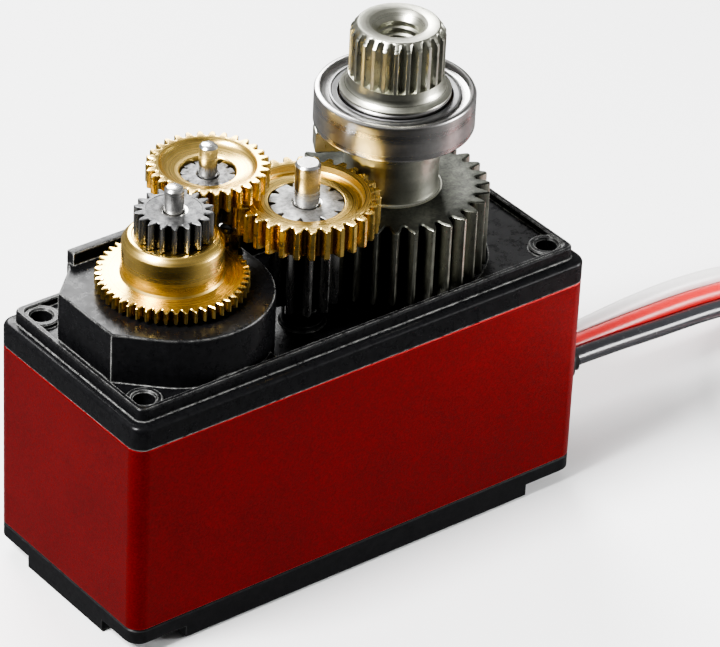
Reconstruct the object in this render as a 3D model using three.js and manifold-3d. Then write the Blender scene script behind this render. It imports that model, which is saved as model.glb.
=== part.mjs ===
// Mini metal-gear servo with its gear cover taken off: a red aluminium sleeve between a black gear tray and a
// black bottom cover, a four-stage gear train on steel pins, the splined output gear in its ball bearing, the
// motor, the feedback potentiometer and the circuit board inside, and a flat three-wire lead.
// Millimetres, +Z up. The origin is the bottom centre of the case, +X points to the output end and the lead.
import * as THREE from "three";
import { mergeVertices } from "three/addons/utils/BufferGeometryUtils.js";
import Module from "manifold-3d";

const wasm = await Module();
wasm.setup();

// ---- driving dimensions ----
const CASE = { x: 17.3, y: 7.44, corner: 1.0, wall: 0.8 }; // half length, half width, corner radius, wall
const SLEEVE = { bottom: 1.9, top: 15.1 };
const TRAY = {
  spigotBottom: 14.0,
  underside: 14.3,
  wellFloor: 15.3,
  shoulder: 16.7,
  deck: 17.1,
  bossTop: 17.4,
  rim: 17.55,
  step: 0.66, // from the case side to the raised rim
  rimWidth: 0.45,
  plateau: 20.45,
  ribTop: 21.3,
};
const FOOT = { corner: 0.8, x: 13.4, y: 4.0, chamfer: 0.45 };
const SPIGOT = { clearance: 0.06, wall: 0.9, depth: 1.0 };
const CASE_SCREW = { x: 15.42, y: 5.4, hole: 0.69, boss: 1.15, shank: 0.55, head: 1.15, headHeight: 0.65 };

const PLATEAU = { x: -9.55, y: -0.42, r: 6.0, left: -15.87, right: -3.55, back: 5.65, backLeft: 4.85 };

// gear axes
const OUTPUT = { x: 6.95, y: 0 };
const THIRD = { x: -0.604, y: -1.3 };
const SECOND = { x: -4.925, y: 3.006 };
const FIRST = { x: -9.76, y: -0.21 };
const MOTOR_ANGLE = THREE.MathUtils.degToRad(16.5); // direction of the motor axis seen from the first gear's axis
const MOTOR_DISTANCE = 5.287;
const MOTOR = {
  x: FIRST.x + MOTOR_DISTANCE * Math.cos(MOTOR_ANGLE),
  y: FIRST.y + MOTOR_DISTANCE * Math.sin(MOTOR_ANGLE),
};

// gears: teeth, tip and root radius, bottom and top; the phase is the angle of one tooth, in degrees
const OUTPUT_TEETH = { teeth: 32, tip: 6.2, root: 5.36, bottom: 16.85, top: 22.15, phase: 10.5 };
const THIRD_PINION = { teeth: 10, tip: 2.19, root: 1.36, bottom: 16.82, top: 23.7 };
const THIRD_WHEEL = { teeth: 30, tip: 4.52, root: 3.98, bottom: 22.4, top: 24.4, phase: 9.9 };
const SECOND_PINION = { teeth: 12, tip: 2.05, root: 1.5, bottom: 22.3, top: 24.55, insert: 1.7, insertTop: 25.1 };
const SECOND_WHEEL = { teeth: 30, tip: 3.8, root: 3.3, bottom: 24.57, top: 25.9, phase: 2.0 };
const FIRST_PINION = { teeth: 18, tip: 2.42, root: 1.9, bottom: 24.15, top: 25.93 };
const FIRST_WHEEL = { teeth: 48, tip: 4.7, root: 4.28, bottom: 20.65, top: 21.5, phase: 4.9 };
const MOTOR_PINION = { teeth: 8, tip: 0.93, root: 0.52, bottom: 20.5, top: 21.9 };
const BACKLASH = 0.07; // mm of play along the pitch circle, shared by the two gears of a pair
const PRESSURE_ANGLE = THREE.MathUtils.degToRad(25);

const FIRST_PIN = { r: 0.6, bottom: 15.8, top: 27.45, bore: 0.66 };
const SECOND_PIN = { r: 0.575, bottom: 15.8, top: 27.2, bore: 0.635 };
const THIRD_PIN = { r: 0.8, bottom: 14.5, top: 26.66, bore: 0.86 };
const COLLAR = { r: 3.12, top: 24.15, chamfer: 0.3 };

const HUB = { r: 2.95, shoulder: 3.12, shoulderBottom: 24.75, top: 26.35 };
const BEARING = { bore: 3.0, outer: 5.0, bottom: 26.38, top: 28.83, innerLand: 3.45, outerLand: 4.1, shield: 0.22 };
const SPLINE = { teeth: 25, tip: 2.95, root: 2.68, bottom: 30.05, top: 33.35, chamfer: 0.36, hole: 1.25, holeBottom: 24.5 };
const LUG = { r: 4.9, width: 1.3, angle: THREE.MathUtils.degToRad(150), bottom: 24.65, top: 26.1 };
const JOURNAL = { r: 1.7, bottom: 14.2, bore: 0.98, boreTop: 17.4 };
const BUSHING = { r: 2.4, flange: 3.2, flangeTop: 16.7 };

const MOTOR_CAN = { r: 4.8, wall: 0.45, bottom: 4.9, top: 13.85 };
const BOARD = { x: 15.6, y: 5.9, bottom: 2.95, top: 3.6 };
const POT = { r: 4.2, bottom: 8.2, top: 12.6, shaft: 0.92, shaftTop: 17.2 };

// the lead: three 1.2 mm wires side by side, about 222 mm long with its coil
const LEAD = { width: 3.6, thickness: 1.2, exitX: 22.2, exitZ: 4.0 };
const LEAD_POINTS = [
  [22.5, 0, 4.0],
  [25, 0, 4.0],
  [27.5, 0, 3.94],
  [30, 0, 3.85],
  [32.5, 0, 3.8],
  [35.3, 0, 3.65],
];
const COIL = { x: 48.9, y: -17.9, inner: 16.5, outer: 20.5, bottom: 0.05, top: 2.65 };
const LEAD_END_POINTS = [
  [51.1, -31.6, 0.75],
  [48.1, -31.3, 0.75],
  [44.8, -29.8, 0.75],
  [42.2, -27.2, 0.8],
  [41.1, -23.9, 0.9],
  [41.8, -20.4, 1.1],
  [44.2, -17.8, 1.3],
  [47.8, -16.9, 1.4],
];
const CONNECTOR = { width: 7.8, thickness: 2.6, length: 14, x: 55.2, y: -16.9 };

// ---- materials ----
function paint(color, roughness, metalness = 0) {
  return new THREE.MeshStandardMaterial({ color, roughness, metalness });
}
const redAluminium = paint(0x8e1014, 0.35, 0.6);
const blackPlastic = paint(0x17181a, 0.5);
const brass = paint(0xc69a45, 0.28, 1);
const steel = paint(0x9c9d98, 0.3, 1);
const brightSteel = paint(0xcfd0ce, 0.16, 1);
const darkSteel = paint(0x55575a, 0.4, 1);
const bronze = paint(0x9a6c3c, 0.4, 1);
const copper = paint(0xb06a3a, 0.4, 1);
const boardGreen = paint(0x1d4a33, 0.5);
const rubber = paint(0x141414, 0.8);
const leadGrey = paint(0xb9b4b2, 0.5);
const gold = paint(0xd2ab4c, 0.25, 1);
const magnetGrey = paint(0x77797c, 0.45, 0.8);

// ---- solids ----
// A closed three.js geometry as a solid with its faces pointing out.
function solid(geometry) {
  const bare = geometry.index ? geometry : mergeVertices(geometry);
  bare.deleteAttribute("normal");
  bare.deleteAttribute("uv");
  const merged = mergeVertices(bare, 1e-4);
  const made = (triVerts) =>
    new wasm.Manifold(
      new wasm.Mesh({ numProp: 3, vertProperties: new Float32Array(merged.attributes.position.array), triVerts }),
    );
  const faces = new Uint32Array(merged.index.array);
  const first = made(faces);
  return first.volume() > 0 ? first : made(faces.slice().reverse());
}

// A solid of revolution about a vertical axis from a closed profile of [radius, height] points.
function turned(profile, centre = { x: 0, y: 0 }, segments = 28) {
  const closed = profile[0][0] < 1e-9 && profile.at(-1)[0] < 1e-9 ? profile : [...profile, profile[0]];
  const points = closed.map(([r, z]) => new THREE.Vector2(r, z));
  const lathe = new THREE.LatheGeometry(points, segments);
  lathe.rotateX(Math.PI / 2);
  lathe.translate(centre.x, centre.y, 0);
  return solid(lathe);
}

function cylinder(r, bottom, top, centre, segments = 20) {
  return turned([[0, bottom], [r, bottom], [r, top], [0, top]], centre, segments);
}

function ring(inner, outer, bottom, top, centre, segments = 24) {
  return turned([[inner, bottom], [outer, bottom], [outer, top], [inner, top]], centre, segments);
}

function box([x0, y0, z0], [x1, y1, z1]) {
  const made = new THREE.BoxGeometry(x1 - x0, y1 - y0, z1 - z0);
  made.translate((x0 + x1) / 2, (y0 + y1) / 2, (z0 + z1) / 2);
  return solid(made);
}

// A vertical prism over a shape.
function prism(shape, bottom, top, curveSegments = 3) {
  const made = new THREE.ExtrudeGeometry(shape, { depth: top - bottom, bevelEnabled: false, curveSegments });
  made.translate(0, 0, bottom);
  return solid(made);
}

function polygon(points) {
  return new THREE.Shape(points.map(([x, y]) => new THREE.Vector2(x, y)));
}

function roundedRectangle(halfX, halfY, r) {
  const shape = new THREE.Shape();
  shape.moveTo(-halfX + r, -halfY);
  shape.lineTo(halfX - r, -halfY);
  shape.absarc(halfX - r, -halfY + r, r, -Math.PI / 2, 0);
  shape.absarc(halfX - r, halfY - r, r, 0, Math.PI / 2);
  shape.absarc(-halfX + r, halfY - r, r, Math.PI / 2, Math.PI);
  shape.absarc(-halfX + r, -halfY + r, r, Math.PI, 1.5 * Math.PI);
  return shape;
}

const joined = (first, ...others) => others.reduce((whole, piece) => whole.add(piece), first);
const cut = (first, ...tools) => tools.reduce((whole, tool) => whole.subtract(tool), first);

// Where the four corner screws go.
const CORNERS = [
  [-1, -1],
  [1, -1],
  [1, 1],
  [-1, 1],
].map(([sx, sy]) => ({ x: sx * CASE_SCREW.x, y: sy * CASE_SCREW.y }));

// ---- meshes ----
const servo = new THREE.Group();

function add(name, made, material) {
  const found = made.getMesh();
  const geometry = new THREE.BufferGeometry();
  const count = found.numProp;
  const positions = new Float32Array(found.numVert * 3);
  for (let i = 0; i < found.numVert; i++) {
    positions.set(found.vertProperties.subarray(i * count, i * count + 3), i * 3);
  }
  geometry.setAttribute("position", new THREE.BufferAttribute(positions, 3));
  geometry.setIndex(new THREE.BufferAttribute(new Uint32Array(found.triVerts), 1));
  geometry.computeVertexNormals();
  const mesh = new THREE.Mesh(geometry, material);
  mesh.name = name;
  servo.add(mesh);
}

// ---- gears ----
const involute = (angle) => Math.tan(angle) - angle;

// A gear's outline with involute flanks: pitch is its working pitch radius.
function gearShape({ teeth, tip, root }, pitch, phase) {
  const base = pitch * Math.cos(PRESSURE_ANGLE);
  const halfAtPitch = Math.PI / (2 * teeth) - BACKLASH / 4 / pitch;
  const half = (r) => {
    const angle = Math.acos(Math.min(1, base / r));
    return halfAtPitch + involute(PRESSURE_ANGLE) - involute(angle);
  };
  const radii = tip - root > 0.82 ? [root, (root + tip) / 2, tip] : [root, tip];
  const points = [];
  for (let tooth = 0; tooth < teeth; tooth++) {
    const middle = phase + (tooth * 2 * Math.PI) / teeth;
    for (const r of radii) {
      points.push([r * Math.cos(middle - half(r)), r * Math.sin(middle - half(r))]);
    }
    for (const r of [...radii].reverse()) {
      points.push([r * Math.cos(middle + half(r)), r * Math.sin(middle + half(r))]);
    }
  }
  return polygon(points);
}

function toothed(gear, pitch, phase, axis) {
  return prism(gearShape(gear, pitch, phase), gear.bottom, gear.top).translate([axis.x, axis.y, 0]);
}

// The two working pitch radii of a pair of gears on two axes.
function pitches(a, axisA, b, axisB) {
  const distance = Math.hypot(axisB.x - axisA.x, axisB.y - axisA.y);
  const share = distance / (a.teeth + b.teeth);
  return [a.teeth * share, b.teeth * share];
}

// The angle of one tooth of gear b, so that it is in mesh with gear a.
function meshedPhase(a, phaseA, axisA, b, axisB) {
  const line = Math.atan2(axisB.y - axisA.y, axisB.x - axisA.x);
  const offset = ((phaseA - line) * a.teeth) / (2 * Math.PI);
  return line + Math.PI + ((2 * Math.PI) / b.teeth) * (0.5 - offset);
}

const outputPhase = THREE.MathUtils.degToRad(OUTPUT_TEETH.phase);
const thirdWheelPhase = THREE.MathUtils.degToRad(THIRD_WHEEL.phase);
const secondWheelPhase = THREE.MathUtils.degToRad(SECOND_WHEEL.phase);
const firstWheelPhase = THREE.MathUtils.degToRad(FIRST_WHEEL.phase);
const thirdPinionPhase = meshedPhase(OUTPUT_TEETH, outputPhase, OUTPUT, THIRD_PINION, THIRD);
const secondPinionPhase = meshedPhase(THIRD_WHEEL, thirdWheelPhase, THIRD, SECOND_PINION, SECOND);
const firstPinionPhase = meshedPhase(SECOND_WHEEL, secondWheelPhase, SECOND, FIRST_PINION, FIRST);
const motorPinionPhase = meshedPhase(FIRST_WHEEL, firstWheelPhase, FIRST, MOTOR_PINION, MOTOR);

const [outputPitch, thirdPinionPitch] = pitches(OUTPUT_TEETH, OUTPUT, THIRD_PINION, THIRD);
const [thirdWheelPitch, secondPinionPitch] = pitches(THIRD_WHEEL, THIRD, SECOND_PINION, SECOND);
const [secondWheelPitch, firstPinionPitch] = pitches(SECOND_WHEEL, SECOND, FIRST_PINION, FIRST);
const [firstWheelPitch, motorPinionPitch] = pitches(FIRST_WHEEL, FIRST, MOTOR_PINION, MOTOR);

// ---- case ----
function plateauShape() {
  const shape = new THREE.Shape();
  const reach = PLATEAU.r * Math.SQRT1_2;
  shape.moveTo(PLATEAU.left, PLATEAU.y - reach + (PLATEAU.x - reach - PLATEAU.left));
  shape.lineTo(PLATEAU.x - reach, PLATEAU.y - reach);
  shape.absarc(PLATEAU.x, PLATEAU.y, PLATEAU.r, 1.25 * Math.PI, 2 * Math.PI);
  shape.lineTo(PLATEAU.right, PLATEAU.back);
  shape.lineTo(-13.4, PLATEAU.back);
  shape.lineTo(-13.9, PLATEAU.backLeft);
  shape.lineTo(PLATEAU.left, 3.0);
  return shape;
}

function wellShape() {
  const y = CASE.y - TRAY.step - TRAY.rimWidth;
  const r = 6.62;
  const meet = Math.acos(y / r);
  const shape = new THREE.Shape();
  shape.moveTo(-6.0, -y);
  shape.lineTo(OUTPUT.x - r * Math.sin(meet), -y);
  shape.absarc(OUTPUT.x, 0, y, -Math.PI / 2, Math.PI / 2);
  shape.lineTo(-6.0, y);
  return shape;
}

function upperCase() {
  const inset = CASE.wall + SPIGOT.clearance;
  const rimX = CASE.x - TRAY.step;
  const rimY = CASE.y - TRAY.step;
  const deckX = rimX - TRAY.rimWidth;
  const deckY = rimY - TRAY.rimWidth;
  const spigot = roundedRectangle(CASE.x - inset, CASE.y - inset, 0.5);
  let tray = joined(
    prism(spigot, TRAY.spigotBottom, SLEEVE.top),
    prism(roundedRectangle(CASE.x, CASE.y, CASE.corner), SLEEVE.top, TRAY.shoulder),
    prism(roundedRectangle(rimX, rimY, 0.6), TRAY.shoulder, TRAY.rim),
  );
  tray = cut(
    tray,
    prism(roundedRectangle(deckX, deckY, 0.5), TRAY.deck, TRAY.rim + 1),
    prism(wellShape(), TRAY.wellFloor, TRAY.rim + 1, 16),
  );
  tray = joined(
    tray,
    prism(plateauShape(), TRAY.wellFloor - 0.2, TRAY.plateau, 14),
    box([-13.4, 4.95, TRAY.plateau - 0.2], [-4.4, PLATEAU.back, TRAY.ribTop]),
    turned([[0, 15.2], [1.5, 15.2], [1.5, 15.45], [1.3, 15.6], [1.3, 16.7], [0, 16.7]], THIRD, 16),
    ...CORNERS.map((corner) => cylinder(CASE_SCREW.boss, TRAY.deck - 0.2, TRAY.bossTop, corner, 16)),
  );
  const cavity = roundedRectangle(CASE.x - inset - SPIGOT.wall, CASE.y - inset - SPIGOT.wall, 0.4);
  return cut(
    tray,
    prism(cavity, TRAY.spigotBottom - 1, TRAY.underside),
    ring(1.7, 4.0, TRAY.underside - 0.5, TRAY.plateau - 1.1, { x: FIRST.x, y: FIRST.y }, 20),
    ...CORNERS.map((corner) => cylinder(CASE_SCREW.hole, TRAY.spigotBottom - 1, TRAY.rim + 1, corner, 12)),
    cylinder(FIRST_PIN.r + 0.02, FIRST_PIN.bottom - 0.02, TRAY.plateau + 1, FIRST, 16),
    cylinder(SECOND_PIN.r + 0.02, SECOND_PIN.bottom - 0.02, TRAY.plateau + 1, SECOND, 16),
    cylinder(THIRD_PIN.r + 0.02, THIRD_PIN.bottom - 0.02, TRAY.plateau, THIRD, 16),
    cylinder(1.05, TRAY.underside - 1, TRAY.plateau + 1, MOTOR, 16),
    cylinder(1.45, TRAY.underside - 1, TRAY.wellFloor - 0.3, MOTOR, 16),
    cylinder(BUSHING.r + 0.03, TRAY.underside - 1, TRAY.wellFloor + 1, OUTPUT, 24),
  );
}

function centerCase() {
  const inner = prism(
    roundedRectangle(CASE.x - CASE.wall, CASE.y - CASE.wall, 0.5),
    SLEEVE.bottom - 1,
    SLEEVE.top + 1,
  );
  const posts = CORNERS.map(({ x, y }) => {
    const sx = Math.sign(x);
    const sy = Math.sign(y);
    const near = [x - sx * 1.15, y - sy * 1.15];
    const far = [sx * (CASE.x - 0.3), sy * (CASE.y - 0.3)];
    const low = [Math.min(near[0], far[0]), Math.min(near[1], far[1]), SLEEVE.bottom + 1.1];
    const high = [Math.max(near[0], far[0]), Math.max(near[1], far[1]), 9.0];
    return box(low, high);
  });
  const shell = cut(prism(roundedRectangle(CASE.x, CASE.y, CASE.corner), SLEEVE.bottom, SLEEVE.top), inner);
  return cut(
    joined(shell, ...posts),
    ...CORNERS.map((corner) => cylinder(CASE_SCREW.shank + 0.02, SLEEVE.bottom, 8.2, corner, 12)),
    box([CASE.x - 2, -2.3, LEAD.exitZ - 1.1], [CASE.x + 1, 2.3, LEAD.exitZ + 1.1]),
  );
}

function footShape() {
  const { x, y, chamfer } = FOOT;
  const outer = CASE;
  const quarter = (sx, sy) => {
    const corner = [
      [outer.x, y],
      [x + chamfer, y],
      [x, y + chamfer],
      [x, outer.y],
    ];
    const points = sx * sy > 0 ? corner : corner.reverse();
    return points.map(([px, py]) => [sx * px, sy * py]);
  };
  return polygon([...quarter(1, 1), ...quarter(-1, 1), ...quarter(-1, -1), ...quarter(1, -1)]);
}

function bottomCover() {
  const inset = CASE.wall + SPIGOT.clearance;
  const spigotOuter = roundedRectangle(CASE.x - inset, CASE.y - inset, 0.5);
  const spigotInner = roundedRectangle(CASE.x - inset - SPIGOT.wall, CASE.y - inset - SPIGOT.wall, 0.4);
  const spigot = cut(
    prism(spigotOuter, SLEEVE.bottom - 0.3, SLEEVE.bottom + SPIGOT.depth),
    prism(spigotInner, SLEEVE.bottom, SLEEVE.bottom + 2),
  );
  return cut(
    joined(
      prism(roundedRectangle(CASE.x, CASE.y, CASE.corner), FOOT.corner, SLEEVE.bottom),
      prism(footShape(), 0, FOOT.corner + 0.1),
      spigot,
    ),
    ...CORNERS.map((corner) => cylinder(CASE_SCREW.hole, -1, SLEEVE.bottom + 2, corner, 12)),
    box([CASE.x - 2.2, -2.3, SLEEVE.bottom + 0.4], [CASE.x, 2.3, SLEEVE.bottom + 2]),
  );
}

function caseScrew(corner) {
  const top = FOOT.corner - 0.02;
  const bottom = top - CASE_SCREW.headHeight;
  const body = turned(
    [
      [0, bottom],
      [0.8, bottom],
      [CASE_SCREW.head, bottom + 0.28],
      [CASE_SCREW.head, top],
      [CASE_SCREW.shank, top],
      [CASE_SCREW.shank, 7.2],
      [0.1, 7.8],
      [0, 7.8],
    ],
    corner,
    12,
  );
  const slot = (halfX, halfY) =>
    box([corner.x - halfX, corner.y - halfY, bottom - 0.2], [corner.x + halfX, corner.y + halfY, bottom + 0.32]);
  return cut(body, joined(slot(0.6, 0.13), slot(0.13, 0.6)));
}

add("upper_case", upperCase(), blackPlastic);
add("center_case", centerCase(), redAluminium);
add("bottom_cover", bottomCover(), blackPlastic);
CORNERS.forEach((corner, i) => add(`bottom_screw_${i + 1}`, caseScrew(corner), darkSteel));

// ---- gear train ----
function pin(axis, { r, bottom, top }) {
  return turned([[0, bottom], [r, bottom], [r, top - 0.15], [r - 0.15, top], [0, top]], axis, 16);
}

function firstWheel() {
  const collar = turned(
    [
      [0, FIRST_WHEEL.top - 0.2],
      [COLLAR.r, FIRST_WHEEL.top - 0.2],
      [COLLAR.r, COLLAR.top - COLLAR.chamfer],
      [COLLAR.r - COLLAR.chamfer, COLLAR.top],
      [0, COLLAR.top],
    ],
    FIRST,
    32,
  );
  const wheel = toothed(FIRST_WHEEL, firstWheelPitch, firstWheelPhase, FIRST);
  return cut(joined(wheel, collar), cylinder(FIRST_PIN.bore, 20, 25, FIRST, 16));
}

// A wheel whose top face is dished between its toothed rim and its middle.
function dishedWheel(gear, pitch, phase, axis, rim, depth, hole) {
  const dish = turned(
    [
      [0, gear.top - depth],
      [hole, gear.top - depth],
      [rim - 0.35, gear.top - depth * 0.75],
      [rim, gear.top],
      [rim, gear.top + 1],
      [0, gear.top + 1],
    ],
    axis,
    24,
  );
  return cut(toothed(gear, pitch, phase, axis), dish, cylinder(hole, gear.bottom - 1, gear.top + 1, axis, 24));
}

function bored(made, r, axis, bottom, top) {
  return cut(made, cylinder(r, bottom - 1, top + 1, axis, 16));
}

add("first_gear_pin", pin(FIRST, FIRST_PIN), brightSteel);
add("second_gear_pin", pin(SECOND, SECOND_PIN), brightSteel);
add("third_gear_pin", pin(THIRD, THIRD_PIN), brightSteel);

add("first_gear_wheel", firstWheel(), brass);
const firstPinion = toothed(
  { ...FIRST_PINION, bottom: FIRST_PINION.bottom + 0.01 },
  firstPinionPitch,
  firstPinionPhase,
  FIRST,
);
add("first_gear_pinion", bored(firstPinion, FIRST_PIN.bore, FIRST, 24, 26), steel);

const secondHole = SECOND_PINION.insert + 0.03;
add(
  "second_gear_wheel",
  dishedWheel(SECOND_WHEEL, secondWheelPitch, secondWheelPhase, SECOND, 3.0, 0.55, secondHole),
  brass,
);
const secondPinion = joined(
  toothed(SECOND_PINION, secondPinionPitch, secondPinionPhase, SECOND),
  cylinder(SECOND_PINION.insert, SECOND_PINION.top - 0.1, SECOND_PINION.insertTop, SECOND, 24),
);
add("second_gear_pinion", bored(secondPinion, SECOND_PIN.bore, SECOND, 22, 26), darkSteel);

const thirdHole = 2.35;
add(
  "third_gear_wheel",
  dishedWheel(THIRD_WHEEL, thirdWheelPitch, thirdWheelPhase, THIRD, 3.5, 0.5, thirdHole),
  brass,
);
const thirdPinion = joined(
  toothed({ ...THIRD_PINION, top: THIRD_WHEEL.bottom - 0.02 }, thirdPinionPitch, thirdPinionPhase, THIRD),
  cylinder(thirdHole - 0.03, THIRD_WHEEL.bottom - 0.1, 23.85, THIRD, 24),
);
add("third_gear_pinion", bored(thirdPinion, THIRD_PIN.bore, THIRD, 16, 25), steel);

// ---- output ----
function splineShape() {
  const points = [];
  const pitch = (2 * Math.PI) / SPLINE.teeth;
  for (let tooth = 0; tooth < SPLINE.teeth; tooth++) {
    const middle = tooth * pitch;
    const corners = [
      [SPLINE.root, -0.38],
      [SPLINE.tip, -0.16],
      [SPLINE.tip, 0.16],
      [SPLINE.root, 0.38],
    ];
    for (const [r, share] of corners) {
      points.push([r * Math.cos(middle + share * pitch), r * Math.sin(middle + share * pitch)]);
    }
  }
  return polygon(points);
}

function outputGear() {
  const seat = BEARING.bore - 0.03;
  const body = turned(
    [
      [0, JOURNAL.bottom],
      [JOURNAL.r, JOURNAL.bottom],
      [JOURNAL.r, OUTPUT_TEETH.bottom],
      [HUB.r, OUTPUT_TEETH.bottom],
      [HUB.r, HUB.shoulderBottom],
      [HUB.shoulder, HUB.shoulderBottom],
      [HUB.shoulder, HUB.top],
      [seat, HUB.top],
      [seat, BEARING.top + 0.15],
      [3.25, BEARING.top + 0.17],
      [3.1, BEARING.top + 0.5],
      [2.95, SPLINE.bottom - 0.3],
      [2.9, SPLINE.bottom],
      [SPLINE.root - 0.05, SPLINE.bottom],
      [SPLINE.root - 0.05, SPLINE.top - 0.4],
      [0, SPLINE.top - 0.4],
    ],
    OUTPUT,
    32,
  );
  const cone = turned(
    [
      [0, SPLINE.bottom - 0.2],
      [SPLINE.tip + 0.1, SPLINE.bottom - 0.2],
      [SPLINE.tip + 0.1, SPLINE.top - SPLINE.chamfer - 0.1],
      [SPLINE.tip - SPLINE.chamfer, SPLINE.top],
      [0, SPLINE.top],
    ],
    OUTPUT,
    50,
  );
  const splined = prism(splineShape(), SPLINE.bottom - 0.1, SPLINE.top).translate([OUTPUT.x, OUTPUT.y, 0]);
  const lug = box([2.5, -LUG.width / 2, LUG.bottom], [LUG.r, LUG.width / 2, LUG.top]);
  const degrees = THREE.MathUtils.radToDeg(LUG.angle);
  const placedLug = lug.rotate([0, 0, degrees]).translate([OUTPUT.x, OUTPUT.y, 0]);
  const hole = turned(
    [
      [0, SPLINE.holeBottom],
      [SPLINE.hole, SPLINE.holeBottom + 0.7],
      [SPLINE.hole, SPLINE.top - 0.55],
      [1.8, SPLINE.top],
      [1.8, SPLINE.top + 1],
      [0, SPLINE.top + 1],
    ],
    OUTPUT,
    20,
  );
  const shaftBore = cylinder(JOURNAL.bore, JOURNAL.bottom - 1, JOURNAL.boreTop, OUTPUT, 16);
  const teeth = toothed(OUTPUT_TEETH, outputPitch, outputPhase, OUTPUT);
  return cut(joined(body, teeth, splined.intersect(cone), placedLug), hole, shaftBore);
}

add("output_gear", outputGear(), steel);

function bearing() {
  const { bore, outer, bottom, top, innerLand, outerLand, shield } = BEARING;
  const middle = (bottom + top) / 2;
  const track = 0.5;
  const outerRing = turned(
    [
      [outerLand, bottom],
      [outer - 0.2, bottom],
      [outer, bottom + 0.2],
      [outer, top - 0.2],
      [outer - 0.2, top],
      [outerLand, top],
      [outerLand, middle + track],
      [outerLand + 0.28, middle],
      [outerLand, middle - track],
    ],
    OUTPUT,
    36,
  );
  const innerRing = turned(
    [
      [bore, bottom],
      [innerLand, bottom],
      [innerLand, middle - 0.45],
      [innerLand - 0.22, middle],
      [innerLand, middle + 0.45],
      [innerLand, top],
      [bore, top],
    ],
    OUTPUT,
    28,
  );
  const shieldAt = (z) => ring(innerLand + 0.1, outerLand - 0.02, z, z + shield, OUTPUT, 28);
  const cage = [ring(3.62, 3.92, middle - 0.12, middle + 0.12, OUTPUT, 24)];
  for (let i = 0; i < 8; i++) {
    const angle = (i * Math.PI) / 4;
    const ball = new THREE.SphereGeometry(0.46, 6, 4);
    ball.translate(OUTPUT.x + 3.77 * Math.cos(angle), OUTPUT.y + 3.77 * Math.sin(angle), middle);
    cage.push(solid(ball));
  }
  add("bearing_outer_ring", outerRing, brightSteel);
  add("bearing_inner_ring", innerRing, brightSteel);
  add("bearing_top_shield", shieldAt(top - 0.2 - shield), steel);
  add("bearing_bottom_shield", shieldAt(bottom + 0.2), steel);
  add("bearing_ball_cage", joined(...cage), bronze);
}
bearing();

const bushing = turned(
  [
    [JOURNAL.r + 0.05, TRAY.spigotBottom + 0.1],
    [BUSHING.r, TRAY.spigotBottom + 0.1],
    [BUSHING.r, TRAY.wellFloor + 0.01],
    [BUSHING.flange, TRAY.wellFloor + 0.01],
    [BUSHING.flange, BUSHING.flangeTop],
    [JOURNAL.r + 0.05, BUSHING.flangeTop],
  ],
  OUTPUT,
  24,
);
add("output_bushing", bushing, bronze);

// ---- motor ----
function motor() {
  const { r, wall, bottom, top } = MOTOR_CAN;
  const can = turned(
    [
      [r - wall, bottom],
      [r, bottom],
      [r, top - 0.3],
      [r - 0.3, top],
      [1.3, top],
      [1.3, top - 0.7],
      [r - wall, top - 0.7],
    ],
    MOTOR,
    28,
  );
  add("motor_can", can, brightSteel);
  add("motor_bearing", ring(0.46, 1.27, top - 1.0, top + 0.55, MOTOR, 16), bronze);
  add("motor_magnet", ring(1.4, 2.9, 6.9, top - 1.05, MOTOR, 20), magnetGrey);
  const winding = turned(
    [[0.75, 5.9], [3.95, 5.9], [3.95, top - 1.0], [3.35, top - 1.0], [3.35, 6.5], [0.75, 6.5]],
    MOTOR,
    20,
  );
  add("motor_winding", winding, copper);
  add("motor_commutator", ring(0.45, 0.72, 5.2, 6.45, MOTOR, 16), gold);
  add("motor_shaft", cylinder(0.4, 5.15, MOTOR_PINION.top + 0.25, MOTOR, 14), brightSteel);
  const capBottom = bottom - 0.7;
  const cap = cut(
    cylinder(r - 0.05, capBottom, bottom - 0.02, MOTOR, 28),
    cylinder(1.0, capBottom - 1, bottom + 1, MOTOR, 14),
    box([MOTOR.x - 2.6, MOTOR.y + 1.6, capBottom - 1], [MOTOR.x - 2.0, MOTOR.y + 3.2, bottom + 1]),
    box([MOTOR.x + 2.0, MOTOR.y + 1.6, capBottom - 1], [MOTOR.x + 2.6, MOTOR.y + 3.2, bottom + 1]),
  );
  add("motor_end_cap", cap, blackPlastic);
  for (const [i, side] of [-1, 1].entries()) {
    const face = MOTOR.x + side * 0.78;
    const back = MOTOR.x + side * 2.9;
    const brush = box(
      [Math.min(face, back), MOTOR.y - 0.35, 5.25],
      [Math.max(face, back), MOTOR.y + 0.35, 5.6],
    );
    add(`motor_brush_${i + 1}`, brush, copper);
    const x = MOTOR.x + side * 2.3;
    add(`motor_terminal_${i + 1}`, box([x - 0.25, MOTOR.y + 1.8, 3.7], [x + 0.25, MOTOR.y + 3.0, 5.5]), gold);
  }
  const pinion = toothed(MOTOR_PINION, motorPinionPitch, motorPinionPhase, MOTOR);
  add("motor_pinion", bored(pinion, 0.42, MOTOR, 20, 22), brass);
}
motor();

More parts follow.
